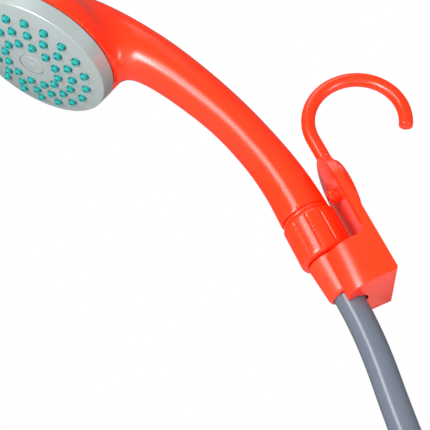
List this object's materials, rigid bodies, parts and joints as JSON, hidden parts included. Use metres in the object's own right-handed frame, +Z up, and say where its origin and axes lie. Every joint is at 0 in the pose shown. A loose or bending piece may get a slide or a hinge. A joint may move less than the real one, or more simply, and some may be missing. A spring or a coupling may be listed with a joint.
{
  "type": "portable shower",
  "caption": "Hand shower with a round head, ribbed collar and coiled hose with a union nut, on a tilting cradle that hangs by a swivelling hook.",
  "frame": {"origin": "the point inside the hook's crown that hangs on a branch or rail", "axes": "+Z up, the hook's bend lies in the XZ plane, the shower head points towards -X"},
  "size_m": [0.2525, 0.0866, 0.4436],
  "materials": {
    "orange": "glossy moulded",
    "silver": "satin silver",
    "teal": "soft silicone",
    "milk": "moulded",
    "hose": "smooth flexible",
    "seal": "soft",
    "strap": "woven",
    "brass": "turned",
    "steel": "brushed"
  },
  "bodies": {
    "hook": {"hook": "orange", "pivot_pin": "orange", "friction_washer": "steel"},
    "cradle": {"cradle": "orange"},
    "hose_end": {"hose_insert": "brass", "nut_washer": "seal", "hose_cone": "orange", "hose": "hose", "hose_coil": "hose", "coil_tie": "strap", "hose_tail": "hose", "pump_ferrule": "steel", "pump_insert": "brass", "pump_washer": "seal"},
    "handset": {"handset_shell": "orange", "spigot_sleeve": "brass", "face_plate": "silver", "centre_cap": "silver", "face_screw": "steel", "nozzle_mat": "teal", "mat_backing": "milk", "face_seal": "seal", "collar_nut": "orange"},
    "union_nut": {"union_nut": "orange"}
  },
  "joints": [
    {"name": "hook_pivot", "type": "hinge", "parent": "hook", "child": "cradle", "pos_m": [-0.00785, 0, -0.06147], "axis": [0.9135, 0, 0.4067], "range_deg": [-90, 90]},
    {"name": "lift_out", "type": "slide", "parent": "cradle", "child": "hose_end", "axis": [-0.4067, 0, 0.9135], "range_m": [0, 0.03]},
    {"name": "swivel", "type": "hinge", "parent": "hose_end", "child": "handset", "pos_m": [-0.02775, 0, -0.07515], "axis": [-0.4067, 0, 0.9135], "continuous": true},
    {"name": "nut_turn", "type": "hinge", "parent": "hose_end", "child": "union_nut", "pos_m": [0.033, 0.0207, -0.375], "axis": [0, 0, 1], "continuous": true}
  ]
}
